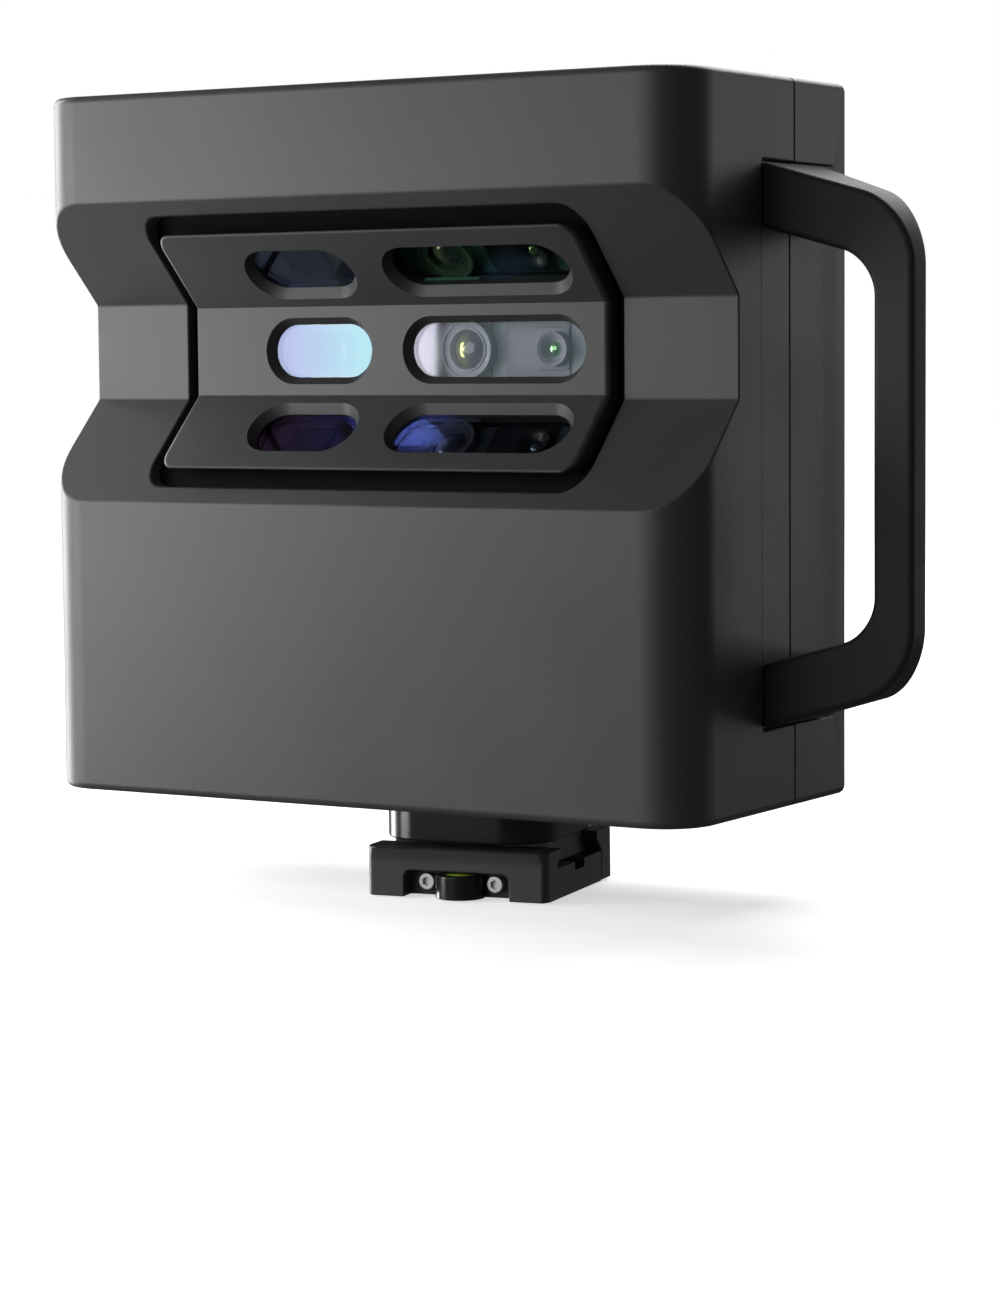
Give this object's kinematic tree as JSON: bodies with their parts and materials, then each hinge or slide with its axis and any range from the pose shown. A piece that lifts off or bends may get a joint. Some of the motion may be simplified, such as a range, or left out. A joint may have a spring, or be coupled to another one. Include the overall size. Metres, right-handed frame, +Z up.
{
  "type": "terrestrial laser scanner",
  "caption": "Box-shaped 3-D scanner head with a V trench of stacked windows and a side handle, panning on a quick-release tripod clamp.",
  "frame": {"origin": "on the pan axis at the underside of the quick-release clamp, where it rests on a tripod head", "axes": "+Z up along the pan axis; the head faces -Y; +X is the handle side"},
  "size_m": [0.2783, 0.1046, 0.244],
  "materials": {
    "casing": "fine matte texture",
    "bezel": "fine matte texture",
    "handle": "satin moulded",
    "seal": "matt",
    "glass": "coated, blue to violet",
    "lens": "polished barrel and lens",
    "emitter": "smoked window",
    "aluminium": "bead blasted",
    "anodised": "black anodised, satin",
    "steel": "turned",
    "brass": "cut",
    "board": "solder mask",
    "battery": "shrink sleeve",
    "vial": "clear with yellow-green fluid",
    "ceramic": "matt ceramic"
  },
  "bodies": {
    "clamp": {"clamp_body": "anodised", "bubble_level": "vial", "thread_bushing": "brass", "guide_screw_left": "steel", "guide_screw_right": "steel"},
    "clamp_jaw": {"clamp_jaw": "anodised"},
    "clamp_knob": {"clamp_knob": "anodised"},
    "base": {"hub": "anodised", "dovetail_plate": "anodised", "plate_screw_left": "steel", "plate_screw_right": "steel", "stop_pin_left": "steel", "stop_pin_right": "steel", "spindle": "steel", "pan_gear": "brass"},
    "head": {"front_housing": "casing", "rear_cover": "casing", "seam_gasket": "seal", "bezel_gasket": "seal", "window_bezel": "bezel", "handle": "handle", "pan_motor": "anodised", "charge_port": "seal", "optical_bench": "aluminium", "chassis": "aluminium", "bearing_lower": "steel", "bearing_upper": "steel", "button_spring": "steel", "main_board": "board", "side_board": "board", "display_panel": "board", "battery_pack": "battery", "position_antenna": "ceramic", "display_window": "glass", "projector_window_upper": "glass", "camera_window_upper": "glass", "depth_camera_upper": "lens", "colour_camera_upper": "lens", "pattern_projector_upper": "emitter", "projector_window_middle": "glass", "camera_window_middle": "glass", "depth_camera_middle": "lens", "colour_camera_middle": "lens", "pattern_projector_middle": "emitter", "projector_window_lower": "glass", "camera_window_lower": "glass", "depth_camera_lower": "lens", "colour_camera_lower": "lens", "pattern_projector_lower": "emitter", "handle_screw_upper": "steel", "handle_screw_lower": "steel", "cover_screw_lower_left": "steel", "cover_screw_lower_right": "steel", "cover_screw_upper_left": "steel", "cover_screw_upper_right": "steel"},
    "motor_pinion": {"motor_pinion": "brass"},
    "power_button": {"power_button": "bezel"}
  },
  "joints": [
    {"name": "jaw_slide", "type": "slide", "parent": "clamp", "child": "clamp_jaw", "axis": [-0.1736, 0.9848, 0], "range_m": [0, 0.0045]},
    {"name": "knob_turn", "type": "hinge", "parent": "clamp_jaw", "child": "clamp_knob", "pos_m": [-0.00608, 0.03447, 0.0064], "axis": [-0.1736, 0.9848, 0], "range_deg": [0, 1080]},
    {"name": "plate_slide", "type": "slide", "parent": "clamp", "child": "base", "axis": [0.9848, 0.1736, 0], "range_m": [-0.006, 0.006]},
    {"name": "pan", "type": "hinge", "parent": "base", "child": "head", "pos_m": [0, 0, 0.04], "axis": [0, 0, 1], "continuous": true},
    {"name": "pinion_spin", "type": "hinge", "parent": "head", "child": "motor_pinion", "pos_m": [0.0312, 0, 0.0615], "axis": [0, 0, 1], "continuous": true},
    {"name": "button_press", "type": "slide", "parent": "head", "child": "power_button", "axis": [1, 0, 0], "range_m": [0, 0.001], "stiffness_N_per_m": 400, "springref_m": -0.001, "deforming": ["button_spring"]}
  ],
  "couplings": [
    {"joint": "knob_turn", "follows": "jaw_slide", "rad_per_m": 4188.8},
    {"joint": "pinion_spin", "follows": "pan", "ratio": 3.3333}
  ]
}
